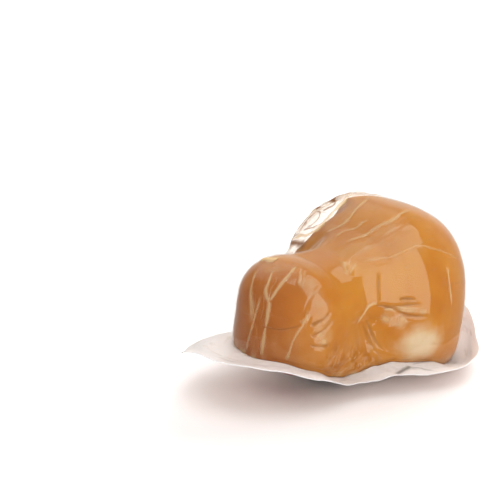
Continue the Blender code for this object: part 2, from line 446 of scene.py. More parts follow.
def buildLidFilm():
    rows = lidFilm["innerRows"] + lidFilm["flangeRows"]
    sealShare = lidFilm["innerRows"] / rows

    def across(share):
        return np.where(share <= sealShare, share / sealShare, 1 + (share - sealShare) / (1 - sealShare))

    def place(turn, share):
        return lidPoint(turn, across(share))

    piece = wrappedMesh("lidFilm", lidFilm["columns"], rows, place)
    points, normals, turn, share = readMesh(piece.data)
    outward = across(share)
    laid = layDown(points + flangeWaves(points, outward - 1))
    laid[:, 2] = np.maximum(laid[:, 2], lidFilm["floorGap"])
    shell = piece.modifiers.new("thickness", "SOLIDIFY")
    shell.thickness = lidFilm["thickness"]
    shell.offset = -1
    shell.material_offset = 1
    # Flat measures in mm for the print: distance to the outer edge and run along it
    spineX, outX, outY = station(turn)
    seal = domePoint(turn, 1.0)
    flangeWidth = rimValue(turn, 2) - heelReach(turn, 1.0)
    inner = np.clip(outward, 0, 1)
    inside = np.hypot(seal[:, 0] - spineX, seal[:, 1]) * (1 - inner)
    beyond = flangeWidth * np.clip(outward - 1, 0, 1)
    ringTurn = np.linspace(0, 2 * pi, lidFilm["ringSteps"])
    ring = domePoint(ringTurn, 1.0)
    runs = np.concatenate([[0], np.cumsum(np.linalg.norm(np.diff(ring, axis=0), axis=1))])
    # Painted shade along the kink's creases
    kinkShade = np.zeros(len(points))
    for places, half, darkness in lidKinkShades:
        places = np.array(places)
        curve = curveThrough(lidPoint(np.radians(places[:, 0]), places[:, 1]))
        distance, along, side = distanceToCurve(points, normals, curve)
        line = np.exp(-(distance / (half * mm)) ** 2) * ease(along * lidFilm["creaseFade"])
        kinkShade = np.maximum(kinkShade, darkness * line * ease((1 - along) * lidFilm["creaseFade"]))
    writeMesh(piece.data, laid, {"rimDistance": (inside + flangeWidth - beyond) / mm,
        "rimRun": np.interp(turn % (2 * pi), ringTurn, runs) / mm,
        "flatX": (spineX + (seal[:, 0] - spineX) * inner + outX * beyond) / mm,
        "flatY": (seal[:, 1] * inner + outY * beyond) / mm, "kinkShade": kinkShade})
    return piece


lid = buildLidFilm()
print("lid film:", len(lid.data.polygons), "faces")

# Clear film. Widths and heights of its folds and hazes are in mm, its places on the skin as above
clearFilm = {
    "columns": 720, "domeRows": 230, "flangeRows": 30, "cover": 0.12 * mm, "lift": 0.12 * mm,
    "slack": (0.07 * mm, 6.0 * mm, 5), "fineSlack": (0.02 * mm, 2.2 * mm, 6),
    "domeEnd": 0.93, "domeFade": 0.06, "weldStart": 0.985, "weldRun": 0.015,
    # Folds fade towards both ends, and their relief is nowhere thinner than the least width
    "foldFade": 6, "foldAtEnd": 0.12, "foldLeast": 0.5, "foldEven": 0.8, "foldUneven": (0.4, 3.0 * mm, 21),
    "hazeReach": 9 * mm, "hazeEdge": 4, "hazeEven": 0.75, "hazeUneven": (0.6, 2.6 * mm, 23),
    # The tent: loose film with milky streaks, brown ridges and blots, and a brown line where it is pinched
    "tentShare": 0.45, "tentWidth": 6.5 * mm, "tentReach": 12 * mm, "tentEdge": 1.6, "tentEndFade": 9,
    "crumple": (0.55 * mm, 3.2 * mm, 32), "streaks": (1.0, 1.0, 31), "streakHeight": 0.275 * mm,
    "streakAcross": 1.4 * mm, "streakAlong": 7.0 * mm, "streakSharp": 2.2, "streakRarity": 0.4,
    "streakMilk": 0.35, "tentHaze": 0.06, "ridges": (2.2, 1.0, 33), "ridgeAcross": 0.8, "ridgeStain": 0.6,
    "pinchWidth": 0.5 * mm, "pinchFade": 6, "stainMilk": 0.85,
    "blots": (3.0, 1.0, 37), "blotReach": 2.4 * mm, "blotSpacing": 4.0 * mm, "blotRarity": 0.6,
    # Crumpled film low in the neck, milky on its crumples, which is partly a painted highlight, with brown
    # juice in its creases
    "fleckLine": [(-143, 0.84), (-134, 0.9), (-121, 0.88), (-112, 0.95)], "fleckReach": 14 * mm,
    "fleckWidth": 5.5 * mm, "fleckHeight": 0.38 * mm, "flecks": (2.0, 2.2 * mm, 41), "fleckMilk": 0.27,
    "fleckStain": 0.13, "juice": (3.5, 2.86 * mm, 42), "juiceSpread": 1.3, "juiceEdge": 1.5,
    # Small gathers where the film runs down into the seal, and a thin line of juice at its foot
    "pleats": (1.0, 2.6 * mm, 51), "pleatHeight": 0.28 * mm, "pleatShare": 0.07, "pleatMilk": 0.42,
    "pleatSharp": 1.6, "pleatRarity": 0.3, "footShare": 0.967, "footWidth": 0.013, "footMilk": 0.28,
    "footEven": 0.6, "footUneven": 1.2,
}

# Folds: places, then height and width, and how milky the doubled film looks, partly a painted highlight;
# below 0 it is painted shade drawn as a dark line in the crease
folds = {
    "headBand": ([(-191, 0.31), (-186.5, 0.43), (-184.5, 0.50), (-182, 0.56), (-179.5, 0.66)], 0.25, 0.9,
        0.42),
    "headThin": ([(-178.8, 0.47), (-178.5, 0.56), (-179, 0.63), (-179.6, 0.72), (-180.2, 0.80),
        (-180.8, 0.88), (-181.2, 0.96)], 0.25, 0.45, 0.42),
    "headMiddle": ([(-182, 0.19), (-180, 0.29), (-178.2, 0.37), (-177.5, 0.43), (-175.5, 0.475),
        (-173.8, 0.50), (-172.8, 0.58), (-172.6, 0.70), (-172.6, 0.83), (-172.4, 0.93), (-172, 0.985)],
        0.35, 0.7, 0.54),
    "headBranch": ([(-168, 0.13), (-170, 0.24), (-171.3, 0.34), (-172.8, 0.44), (-173.8, 0.50)], 0.3, 0.6,
        0.55),
    "headRight": ([(-156.5, 0.48), (-157.5, 0.545), (-159.5, 0.615), (-160.6, 0.72), (-161, 0.82),
        (-161.2, 0.90), (-161.4, 0.97)], 0.3, 0.7, 0.4),
    "headSeam": ([(-176, 0.64), (-168.5, 0.623), (-163, 0.607), (-158.5, 0.58)], -0.22, 0.5, -0.3),
    "headShortLeft": ([(-163, 0.15), (-163.5, 0.25), (-163, 0.34)], 0.25, 0.4, 0.35),
    "headShortRight": ([(-160, 0.18), (-161, 0.27), (-161.5, 0.36)], 0.25, 0.4, 0.3),
    "neckSlantHigh": ([(-155, 0.575), (-153.5, 0.563), (-150, 0.533), (-147, 0.487)], -0.3, 0.5, -0.35),
    "neckSlantLow": ([(-154, 0.625), (-152, 0.61), (-149, 0.587), (-146, 0.537)], -0.3, 0.4, -0.3),
    "neckBottom": ([(-154, 0.715), (-149.5, 0.71), (-145.5, 0.69)], -0.3, 0.45, -0.35),
    "neckUpright": ([(-158.5, 0.54), (-158, 0.47), (-157, 0.42), (-154.5, 0.35), (-152, 0.30)], -0.25, 0.5,
        0.0),
    "neckEdge": ([(-126.5, 0.58), (-124.5, 0.535), (-122, 0.49), (-119, 0.483), (-116, 0.49)], 0.35, 0.5,
        0.6),
    "fanFirst": ([(-120, 0.553), (-116, 0.607), (-112, 0.71), (-106.5, 0.813)], -0.3, 0.5, -0.3),
    "fanSecond": ([(-121.5, 0.573), (-117, 0.647), (-112.5, 0.787), (-108, 0.873)], -0.25, 0.5, -0.25),
    "fanThird": ([(-114, 0.60), (-111.5, 0.68), (-108, 0.77), (-103, 0.84)], -0.2, 0.5, 0.0),
    "fanLight": ([(-123.5, 0.66), (-122, 0.76), (-119, 0.88)], 0.15, 0.4, 0.15),
    # The two arrow folds are a painted highlight, a reflection drawn as a milky mark
    "arrowLeft": ([(-126, 0.137), (-129, 0.197), (-131, 0.253)], 0.25, 1.2, 0.35),
    "arrowRight": ([(-121.5, 0.203), (-125.5, 0.223), (-129.5, 0.257)], 0.2, 0.8, 0.35),
    "crownLow": ([(-117, 0.045), (-112, 0.055), (-109, 0.068), (-104, 0.08), (-98, 0.088), (-90, 0.10),
        (-82, 0.09), (-74, 0.085)], 0.3, 0.6, 0.42),
    "crownRidge": ([(111, 0.10), (109, 0.055), (105, 0.035), (100, 0.03), (91, 0.04), (78, 0.05)], 0.3,
        0.7, 0.45),
    "crownBack": ([(108, 0.24), (106, 0.19), (104, 0.15), (100, 0.14), (90, 0.14), (78, 0.12)], 0.3, 0.6,
        0.5),
    "tentHem": ([(103, 0.415), (106, 0.35), (109, 0.27), (109, 0.22), (108, 0.18), (104, 0.155),
        (97, 0.14), (88, 0.13), (76, 0.155)], 0.2, 0.9, 0.8),
    "tentOuter": ([(101, 0.45), (98, 0.425), (95.5, 0.395), (92, 0.36), (89, 0.33), (86, 0.295)], 0.1, 0.6,
        -0.85),
    "tentSecond": ([(102, 0.43), (103, 0.38), (100, 0.34), (96.5, 0.32), (94, 0.30), (92.5, 0.255)], 0.1,
        0.5, -0.8),
    "tentLoop": ([(102, 0.31), (98, 0.325), (94, 0.31), (93, 0.28), (95.5, 0.24), (101, 0.23), (104, 0.26),
        (102.5, 0.305)], 0.1, 0.5, -0.75),
    "tentLow": ([(104, 0.325), (105, 0.28), (106, 0.23), (105.5, 0.185)], 0.1, 0.5, -0.8),
    "tentTop": ([(83, 0.255), (79, 0.215), (76, 0.185), (74, 0.16)], 0.1, 0.6, -0.85),
    "tentKnot": ([(86, 0.30), (88.5, 0.28), (90.5, 0.255)], 0.1, 1.7, -0.95),
    "tentBlot": ([(81.5, 0.25), (84.5, 0.215), (89, 0.17)], 0.1, 2.2, -0.95),
    "tentCross": ([(95, 0.23), (93.5, 0.20), (91.5, 0.175), (85, 0.18)], 0.1, 0.8, -0.8),
    "tentTip": ([(103, 0.45), (108.5, 0.375), (112, 0.305), (113, 0.25)], 0.1, 1.7, -0.9),
    "headGlint": ([(-201, 0.27), (-199, 0.22), (-195, 0.19), (-191, 0.155)], 0.5, 1.7, 1.0),
    "crownSplit": ([(115, 0.01), (109, 0.003), (-104, 0.017), (-98, 0.02)], 0.25, 0.6, 0.4),
    "shoulderLong": ([(-121, 0.20), (-112, 0.235), (-104, 0.27), (-97.5, 0.28), (-88, 0.28), (-78, 0.315),
        (-68, 0.34), (-56, 0.375)], 0.2, 0.5, 0.28),
    "shoulderShort": ([(-106, 0.18), (-99, 0.20), (-92, 0.205), (-84, 0.20)], -0.15, 0.5, 0.0),
    "shoulderFaint": ([(-109, 0.155), (-101, 0.165), (-92, 0.17), (-82, 0.15)], 0.15, 0.4, 0.12),
    "uprightCrease": ([(-113, 0.31), (-115, 0.40), (-115, 0.487)], -0.4, 0.2, -0.36),
    "beltHigh": ([(-119, 0.487), (-112, 0.505), (-105.5, 0.52), (-97, 0.527), (-89.5, 0.53)], -0.25, 0.35,
        -0.3),
    "beltLow": ([(-113, 0.51), (-106, 0.53), (-101.5, 0.555), (-95.5, 0.567), (-87, 0.57)], -0.4, 0.5,
        -0.3),
    "beltDash": ([(-103.5, 0.495), (-99, 0.50), (-94.5, 0.507)], -0.3, 0.5, -0.42),
    # rightUpright is a painted highlight of a narrow light at the right
    "rightUpright": ([(-72, 0.387), (-71.5, 0.467), (-69, 0.547)], 0.25, 0.6, 0.45),
}

# Soft pale patches where the film lies doubled or loose, and painted reflections of the window and room on
# it: places, width and milkiness
hazesAndReflections = {
    "neckHigh": ([(-157.5, 0.31), (-153, 0.41), (-149.5, 0.50)], 3.0, 0.2),
    "neckLow": ([(-149.5, 0.57), (-149, 0.61), (-148.8, 0.65)], 3.7, 0.34),
    "belt": ([(-110, 0.527), (-102.5, 0.54), (-94.5, 0.55), (-89, 0.555)], 1.4, 0.46),
    "second": ([(-108.5, 0.565), (-104.5, 0.577), (-100.5, 0.59)], 2.4, 0.54),
    "headShine": ([(-184, 0.29), (-178, 0.235), (-171, 0.17)], 1.6, 0.16),
    "patchTop": ([(-108, 0.19), (-102, 0.21), (-95.5, 0.235), (-89.5, 0.28)], 3.5, 0.1),
    "ridge": ([(-166, 0.04), (-158, 0.10), (-150, 0.16)], 3.0, 0.12),
    "shoulder": ([(-122, 0.10), (-108, 0.14), (-94, 0.13)], 3.0, 0.2),
    # neckFoot is painted light that brightens the low neck
    "neckFoot": ([(-162, 0.80), (-150, 0.82), (-132, 0.82), (-116, 0.78)], 7.0, 0.1),
    "headTop": ([(-187, 0.30), (-181, 0.235), (-174, 0.16), (-162, 0.06)], 2.2, 0.05),
}


def addHazesAndReflections(spots, normals, milkAndSheen):
    own = clearFilm
    cloudy = own["hazeEven"] + uneven(spots, own["hazeUneven"])
    # Pale patches, mostly painted reflections of the window and the room, join the milk
    for places, wide, strength in hazesAndReflections.values():
        distance, along, side = distanceToPlaces(spots, normals, places, own["hazeReach"])
        haze = strength * np.exp(-(distance / (wide * mm)) ** own["hazeEdge"])
        milkAndSheen = np.maximum(milkAndSheen, haze * cloudy)
    return milkAndSheen


def addFolds(spots, normals, relief):
    own = clearFilm
    rough = own["foldEven"] + uneven(spots, own["foldUneven"])
    gap = np.full(len(spots), farAway)
    width, milky = np.full(len(spots), own["foldLeast"]), np.zeros(len(spots))
    for places, height, wide, cloudy in folds.values():
        distance, along, side = distanceToPlaces(spots, normals, places)
        fade = ease(along * own["foldFade"] + own["foldAtEnd"])
        fade = fade * ease((1 - along) * own["foldFade"] + own["foldAtEnd"])
        profile = np.exp(-(distance / (max(wide, own["foldLeast"]) * mm)) ** 2) * fade
        relief = relief + height * mm * profile * rough
        closer = distance / mm < np.abs(gap)
        gap = np.where(closer, distance * side / mm, gap)
        width = np.where(closer, wide, width)
        milky = np.where(closer, cloudy * fade, milky)
    return relief, gap, width, milky


def addTent(spots, normals, relief, milkAndSheen):
    # Loose, crumpled film between the head's back and the body's shoulder, clear of the cheese
    own = clearFilm
    line = curveThrough(skinPlaces(tent["line"]))
    distance, along, side = distanceToCurve(spots, normals, line, own["tentReach"])
    loose = np.exp(-(distance / own["tentWidth"]) ** 2)
    shown = ease(loose * own["tentEdge"])
    run = along * np.linalg.norm(np.diff(line, axis=0), axis=1).sum()
    flat = np.stack([distance * side / own["streakAcross"], run / own["streakAlong"], 0 * run], -1)
    streaks = uneven(flat, own["streaks"])
    relief = relief + loose * (uneven(spots, own["crumple"]) + own["streakHeight"] * streaks)
    ridges = uneven(flat * np.array([own["ridgeAcross"], 1, 1]), own["ridges"])
    ridges = own["ridgeStain"] * ease(1 - np.abs(ridges)) ** 2
    pinch = np.exp(-(distance / own["pinchWidth"]) ** 2) * ease(along * own["pinchFade"])
    blots = uneven(np.stack([0 * run, run / own["blotSpacing"], 0 * run], -1), own["blots"])
    blots = ease(blots - own["blotRarity"]) * np.exp(-(distance / own["blotReach"]) ** 2)
    stainAndShade = np.maximum(np.maximum(ridges, pinch), blots) * shown * ease((1 - along) * own["tentEndFade"])
    clouds = own["tentHaze"] + own["streakMilk"] * ease(streaks * own["streakSharp"] - own["streakRarity"])
    milkAndSheen = np.maximum(milkAndSheen, shown * np.maximum(clouds, own["stainMilk"] * stainAndShade))
    return relief, milkAndSheen, stainAndShade


def addFlecks(spots, normals, relief, milkAndSheen, stainAndShade):
    own = clearFilm
    distance, along, side = distanceToPlaces(spots, normals, own["fleckLine"], own["fleckReach"])
    fleck = np.exp(-(distance / own["fleckWidth"]) ** 2)
    ridged = 1 - np.abs(uneven(spots, own["flecks"]))
    relief = relief + own["fleckHeight"] * fleck * ridged
    # Milky crumples, partly painted highlights on their ridges
    milkAndSheen = np.maximum(milkAndSheen, own["fleckMilk"] * fleck * np.clip(ridged, 0, 1) ** 2)
    juice = ease(own["juiceSpread"] - np.abs(uneven(spots, own["juice"]))) * ease(fleck * own["juiceEdge"])
    return relief, np.maximum(milkAndSheen, own["fleckStain"] * juice), np.maximum(stainAndShade, juice)


def addPleats(spots, share, relief, milkAndSheen, stainAndShade):
    own = clearFilm
    near = np.exp(-((1 - share) / own["pleatShare"]) ** 2) * (share < 1)
    pleats = uneven(spots * np.array([1.0, 1.0, 0.0]), own["pleats"])
    relief = relief + own["pleatHeight"] * near * pleats
    milkAndSheen = np.maximum(milkAndSheen, own["pleatMilk"] * near * ease(pleats * own["pleatSharp"] - own["pleatRarity"]))
    foot = np.exp(-((share - own["footShare"]) / own["footWidth"]) ** 2)
    foot = foot * ease(own["footEven"] - own["footUneven"] * pleats)
    return relief, np.maximum(milkAndSheen, own["footMilk"] * foot), np.maximum(stainAndShade, ease(foot * 2))


def buildClearFilm():
    own = clearFilm
    rows = own["domeRows"] + own["flangeRows"]
    domeShare = own["domeRows"] / rows

    def place(turn, share):
        dome = domePoint(turn, share / domeShare)
        dome = dome + (tentedPoint(turn, share / domeShare) - dome) * own["tentShare"]
        flange = lidPoint(turn, 1 + np.clip((share - domeShare) / (1 - domeShare), 0, 1))
        return np.where((share <= domeShare)[..., None], dome, flange)

    piece = wrappedMesh("clearFilm", own["columns"], rows, place)
    points, normals, turn, share = readMesh(piece.data)
    outward = np.clip((share - domeShare) / (1 - domeShare), 0, 1)
    share = share / domeShare
    spots = domePoint(turn, share)
    relief = skinLumps(points) + own["cover"] + uneven(points, own["slack"])
    relief = relief + uneven(points, own["fineSlack"])
    relief, gap, width, foldMilkAndSheen = addFolds(spots, normals, relief)
    relief, milkAndSheen, stainAndShade = addTent(spots, normals, relief, np.zeros(len(points)))
    milkAndSheen = addHazesAndReflections(spots, normals, milkAndSheen)
    relief, milkAndSheen, stainAndShade = addFlecks(spots, normals, relief, milkAndSheen, stainAndShade)
    relief, milkAndSheen, stainAndShade = addPleats(spots, share, relief, milkAndSheen, stainAndShade)
    onDome = 1 - ease((share - own["domeEnd"]) / own["domeFade"])
    moved = points + normals * (relief * onDome)[:, None]
    moved[:, 2] += own["lift"] * (1 - onDome)
    laid = layDown(moved + flangeWaves(points, outward))
    laid[:, 2] = np.maximum(laid[:, 2], lidFilm["floorGap"] + own["lift"])
    writeMesh(piece.data, laid, {"milkAndSheen": milkAndSheen * (share < 1),
        "bonded": ease((share - own["weldStart"]) / own["weldRun"]), "stainAndShade": stainAndShade, "foldGap": gap,
        "foldWidth": width, "foldMilkAndSheen": foldMilkAndSheen * onDome})
    return piece


film = buildClearFilm()
print("clear film:", len(film.data.polygons), "faces")


def sRgb(code):
    # Hex colour as seen on a screen, turned to the linear values that Blender mixes
    parts = [int(code[place:place + 2], 16) / 255 for place in (1, 3, 5)]
    linear = [part / 12.92 if part <= 0.04045 else ((part + 0.055) / 1.055) ** 2.4 for part in parts]
    return (*linear, 1.0)


def addNode(owner, kind, inputs=(), **settings):
    tree = owner.node_tree
    node = tree.nodes.new("ShaderNode" + kind)
    node.location = (220 * (len(tree.nodes) % 9), -260 * (len(tree.nodes) // 9))
    for name, value in settings.items():
        setattr(node, name, value)
    for name, value in inputs.items() if isinstance(inputs, dict) else enumerate(inputs):
        if isinstance(value, bpy.types.Node):
            value = next(output for output in value.outputs if output.enabled)
        if isinstance(value, bpy.types.NodeSocket):
            tree.links.new(value, node.inputs[name])
        else:
            node.inputs[name].default_value = value
    return node


def newMaterial(name):
    material = bpy.data.materials.new(name)
    material.use_nodes = True
    material.node_tree.nodes.clear()
    return material


# Smoked rind: dried curd skin dyed amber by smoke, smooth and a little translucent, so its colour looks deep.
# It also carries a painted reflection of the white table, a pale cream patch low on the body
smokedRind = {
    "gold": "#b7791f", "honey": "#ae6b15", "brown": "#a5601f", "deepBrown": "#965217", "reflectedTable": "#ccbb9d",
    "patchSize": 16.0 * mm, "patchEdge": (0.35, 0.65), "mottleSize": 5.0 * mm,
    "headToneRagged": 0.3, "tableReflectionRagged": 0.7, "tableReflectionFull": 1.3,
    "poreSize": 0.9 * mm, "poreDepth": 0.1 * mm, "poreStrength": 0.25,
    "roughness": 0.42, "ior": 1.45, "sheen": 0.15,
    "translucency": 0.12, "glowDepth": 3.0 * mm, "glowSpread": (1.0, 0.45, 0.15),
}


def makeSmokedRind():
    look = smokedRind
    rind = newMaterial("smokedRind")
    place = addNode(rind, "TexCoord").outputs["Object"]
    patches = addNode(rind, "TexNoise", {"Vector": place, "Scale": 1 / look["patchSize"], "Detail": 3.0,
        "Roughness": 0.5})
    mottle = addNode(rind, "TexNoise", {"Vector": place, "Scale": 1 / look["mottleSize"], "Detail": 4.0,
        "Roughness": 0.6})
    pores = addNode(rind, "TexNoise", {"Vector": place, "Scale": 1 / look["poreSize"], "Detail": 2.0})
    headTone, tableReflection = (addNode(rind, "Attribute", attribute_name=name).outputs["Fac"]
                    for name in ("headTone", "tableReflection"))
    patchShare = addNode(rind, "MapRange", {"Value": patches, "From Min": look["patchEdge"][0],
        "From Max": look["patchEdge"][1]})
    body, head = (addNode(rind, "Mix", {0: patchShare, 6: sRgb(look[light]), 7: sRgb(look[dark])},
                          data_type="RGBA") for light, dark in (("gold", "honey"), ("brown", "deepBrown")))
    # Darker towards the head, with ragged edges
    unevenHeadTone = addNode(rind, "Math", [mottle, look["headToneRagged"], -look["headToneRagged"] / 2],
        operation="MULTIPLY_ADD")
    headToneShare = addNode(rind, "Math", [headTone, unevenHeadTone], operation="ADD", use_clamp=True)
    headToned = addNode(rind, "Mix", {0: headToneShare, 6: body, 7: head}, data_type="RGBA")
    # Mix in the cream of the painted table reflection
    ragged = addNode(rind, "Math", [mottle, look["tableReflectionRagged"], -look["tableReflectionRagged"] / 2],
        operation="MULTIPLY_ADD")
    edged = addNode(rind, "Math", [tableReflection, ragged], operation="ADD")
    tableReflectionShare = addNode(rind, "MapRange", {"Value": edged, "From Min": 0.0,
        "From Max": look["tableReflectionFull"]}, interpolation_type="SMOOTHSTEP")
    coloured = addNode(rind, "Mix", {0: tableReflectionShare, 6: headToned, 7: sRgb(look["reflectedTable"])}, data_type="RGBA")
    bump = addNode(rind, "Bump", {"Height": pores, "Strength": look["poreStrength"],
        "Distance": look["poreDepth"]})
    surface = addNode(rind, "BsdfPrincipled", {"Base Color": coloured, "Roughness": look["roughness"],
        "IOR": look["ior"], "Specular IOR Level": look["sheen"], "Subsurface Weight": look["translucency"],
        "Subsurface Radius": look["glowSpread"], "Subsurface Scale": look["glowDepth"], "Normal": bump})
    addNode(rind, "OutputMaterial", {"Surface": surface})
    return rind


# Clear barrier film: cast polyamide and polyethylene, sharp gloss with nothing of its own but the milky folds
# and brown stains; pale folds and patches on it are partly painted highlights and reflections, and its dark
# fold lines are painted shade
clearFilmLook = {
    "ior": 1.5, "roughness": 0.03, "gloss": 0.8, "weldMatt": 0.7, "tint": "#fffdfa",
    "milkAndSheen": "#f0d8a6", "milkThrough": 0.4, "stainAndShade": "#8a5a30", "haze": 0.006,
    "rippleSize": 3.0 * mm, "rippleDepth": 0.06 * mm, "bumpStrength": 0.5,
    "stretchTurn": 4.0, "stretchDown": 55.0, "stretchDepth": 0.05 * mm,
    "streakMilk": 0.14, "streakFrom": 0.60, "streakFull": 0.74,
    "foldWander": 2.5 * mm, "foldWanderDepth": 0.4, "darkBelow": -0.01,
    "foldSwell": 7.0 * mm, "swellFrom": 0.3, "swellFull": 0.7, "swellLeast": 0.8, "swellMost": 2.6,
}


def foldLines(clear, place):
    # Fine milky lines along the folds, partly painted highlights, which wander a little and swell and thin
    # out; the dark lines are painted shade in the creases
    look = clearFilmLook
    wander = addNode(clear, "TexNoise", {"Vector": place, "Scale": 1 / look["foldWander"], "Detail": 2.0})
    swell = addNode(clear, "TexNoise", {"Vector": place, "Scale": 1 / look["foldSwell"], "Detail": 1.0})
    gap, width, milkAndSheen = (addNode(clear, "Attribute", attribute_name=name).outputs["Fac"]
                        for name in ("foldGap", "foldWidth", "foldMilkAndSheen"))
    offset = addNode(clear, "Math", [wander, look["foldWanderDepth"], -look["foldWanderDepth"] / 2],
        operation="MULTIPLY_ADD")
    moved = addNode(clear, "Math", [gap, offset], operation="ADD")
    distance = addNode(clear, "Math", [moved], operation="ABSOLUTE")
    factor = addNode(clear, "MapRange", {"Value": swell, "From Min": look["swellFrom"],
        "From Max": look["swellFull"], "To Min": look["swellLeast"], "To Max": look["swellMost"]})
    reach = addNode(clear, "Math", [width, factor], operation="MULTIPLY")
    inWidths = addNode(clear, "Math", [distance, reach], operation="DIVIDE")
    line = addNode(clear, "MapRange", {"Value": inWidths, "From Min": 1.0, "From Max": 0.0},
        interpolation_type="SMOOTHSTEP")
    strength = addNode(clear, "Math", [milkAndSheen], operation="ABSOLUTE")
    dark = addNode(clear, "Math", [milkAndSheen, look["darkBelow"]], operation="LESS_THAN")
    drawn = addNode(clear, "Math", [line, strength], operation="MULTIPLY")
    shadedLine = addNode(clear, "Math", [line, dark], operation="MULTIPLY")
    return drawn, shadedLine


def makeClearFilm():
    look = clearFilmLook
    clear = newMaterial("clearBarrierFilm")
    place = addNode(clear, "TexCoord").outputs["Object"]
    ripples = addNode(clear, "TexNoise", {"Vector": place, "Scale": 1 / look["rippleSize"], "Detail": 1.0})
    bump = addNode(clear, "Bump", {"Height": ripples, "Strength": look["bumpStrength"],
        "Distance": look["rippleDepth"]})
    # Values that the mesh carries
    turn, share, bonded, areas, stainAndShade = (addNode(clear, "Attribute", attribute_name=name).outputs["Fac"]
                                         for name in ("turn", "share", "bonded", "milkAndSheen", "stainAndShade"))
    # Fine lines of stretch that run round the pear
    around = addNode(clear, "Math", [turn, look["stretchTurn"]], operation="MULTIPLY")
    down = addNode(clear, "Math", [share, look["stretchDown"]], operation="MULTIPLY")
    wound = addNode(clear, "CombineXYZ", {"X": around, "Y": down})
    stretch = addNode(clear, "TexNoise", {"Vector": wound, "Scale": 1.0, "Detail": 2.0})
    bump = addNode(clear, "Bump", {"Height": stretch, "Strength": look["bumpStrength"],
        "Distance": look["stretchDepth"], "Normal": bump})
    # Both sides of so thin a film reflect alike
    behind = addNode(clear, "NewGeometry").outputs["Backfacing"]
    index = addNode(clear, "MapRange", {"Value": behind, "To Min": look["ior"], "To Max": 1 / look["ior"]})
    facing = addNode(clear, "Fresnel", {"IOR": index, "Normal": bump})
    # Where it is welded to the lid film its gloss is embossed away
    free = addNode(clear, "Math", [bonded, -look["weldMatt"] * look["gloss"], look["gloss"]],
        operation="MULTIPLY_ADD")
    shine = addNode(clear, "Math", [facing, free], operation="MULTIPLY")
    through = addNode(clear, "BsdfTransparent", {"Color": sRgb(look["tint"])})
    gloss = addNode(clear, "BsdfGlossy", {"Color": (1, 1, 1, 1), "Roughness": look["roughness"],
        "Normal": bump})
    skin = addNode(clear, "MixShader", [shine, through, gloss])
    lines, creaseShadeLines = foldLines(clear, place)
    # Dark fold lines are painted shade in the creases, drawn in the brown of the stains
    stainAndShade = addNode(clear, "Math", [stainAndShade, creaseShadeLines], operation="MAXIMUM")
    streak = addNode(clear, "MapRange", {"Value": stretch, "From Min": look["streakFrom"],
        "From Max": look["streakFull"], "To Max": look["streakMilk"]})
    lines = addNode(clear, "Math", [lines, streak], operation="MAXIMUM")
    most = addNode(clear, "Math", [areas, lines], operation="MAXIMUM")
    milkAndSheen = addNode(clear, "Math", [most, look["haze"]], operation="ADD", use_clamp=True)
    colour = addNode(clear, "Mix", {0: stainAndShade, 6: sRgb(look["milkAndSheen"]), 7: sRgb(look["stainAndShade"])},
        data_type="RGBA")
    lit = addNode(clear, "BsdfDiffuse", {"Color": colour})
    shining = addNode(clear, "BsdfTranslucent", {"Color": colour})
    milky = addNode(clear, "MixShader", [look["milkThrough"], lit, shining])
    both = addNode(clear, "MixShader", [milkAndSheen, skin, milky])
    addNode(clear, "OutputMaterial", {"Surface": both})
    return clear


# White lid film: satin polyethylene, translucent at the flange, with fine crinkles at the seal
lidLook = {
    "white": "#fbfcff", "kinkShade": "#5d544f", "roughness": 0.38, "ior": 1.5, "translucency": 0.56,
    "crinkleSize": 2.4 * mm, "crinkleDepth": 0.12 * mm, "crinkleStrength": 0.4,
}


def makeLidFilm(name, colour=None):
    look = lidLook
    white = newMaterial(name)
    place = addNode(white, "TexCoord").outputs["Object"]
    crinkles = addNode(white, "TexNoise", {"Vector": place, "Scale": 1 / look["crinkleSize"],
        "Detail": 3.0})
    bump = addNode(white, "Bump", {"Height": crinkles, "Strength": look["crinkleStrength"],
        "Distance": look["crinkleDepth"]})
    # Painted shade in the flange's kink creases
    kinkShade = addNode(white, "Attribute", attribute_name="kinkShade").outputs["Fac"]
    tint = sRgb(look["white"]) if colour is None else colour(white)
    tint = addNode(white, "Mix", {0: kinkShade, 6: tint, 7: sRgb(look["kinkShade"])}, data_type="RGBA")
    surface = addNode(white, "BsdfPrincipled", {"Base Color": tint, "Roughness": look["roughness"],
        "IOR": look["ior"], "Normal": bump})
    shining = addNode(white, "BsdfTranslucent", {"Color": tint, "Normal": bump})
    both = addNode(white, "MixShader", [look["translucency"], surface, shining])
    addNode(white, "OutputMaterial", {"Surface": both})
    return white


# Print on the underside: soft ink on white film, plain bars, dashes and lozenges.
# Places and sizes are in mm on the flat film: along the pack and across it
printLook = {
    "paper": "#f3ebe7", "ink": "#6a5c56", "red": "#c03a33", "tan": "#c7a67f", "dark": "#3f3430",
    "badge": ((-47.0, 0.0), (5.0, 13.5), 3.0), "ribbon": ((-38.0, 0.0), (1.4, 10.5), 1.0),
    "title": ((-29.5, 1.0), (2.6, 19.0), 1.2), "subtitle": ((-24.0, 1.0), (1.2, 16.0), 0.8),
    "words": ((-11.0, 0.0), (9.0, 23.0), 1.0), "bars": ((7.5, 6.0), (5.0, 13.0), 0.2),
    "smallBadge": ((7.5, -17.0), (2.6, 6.0), 1.2), "lowWords": ((20.0, 0.0), (5.0, 20.0), 1.0),
    "wordLength": 3.1, "rowHeight": 1.9, "rowGap": 0.42, "barPitch": 0.42,
    "lozengePitch": 4.4, "lozengeSize": 0.26, "lozengeFrom": -34.0, "lozengeEdge": 8.0,
    "edgeLine": 2.6, "edgeLineWidth": 0.5, "edgeDash": 3.0, "edgeWords": (4.4, 8.2),
    "dashShare": 0.6, "barShare": 0.5,
}


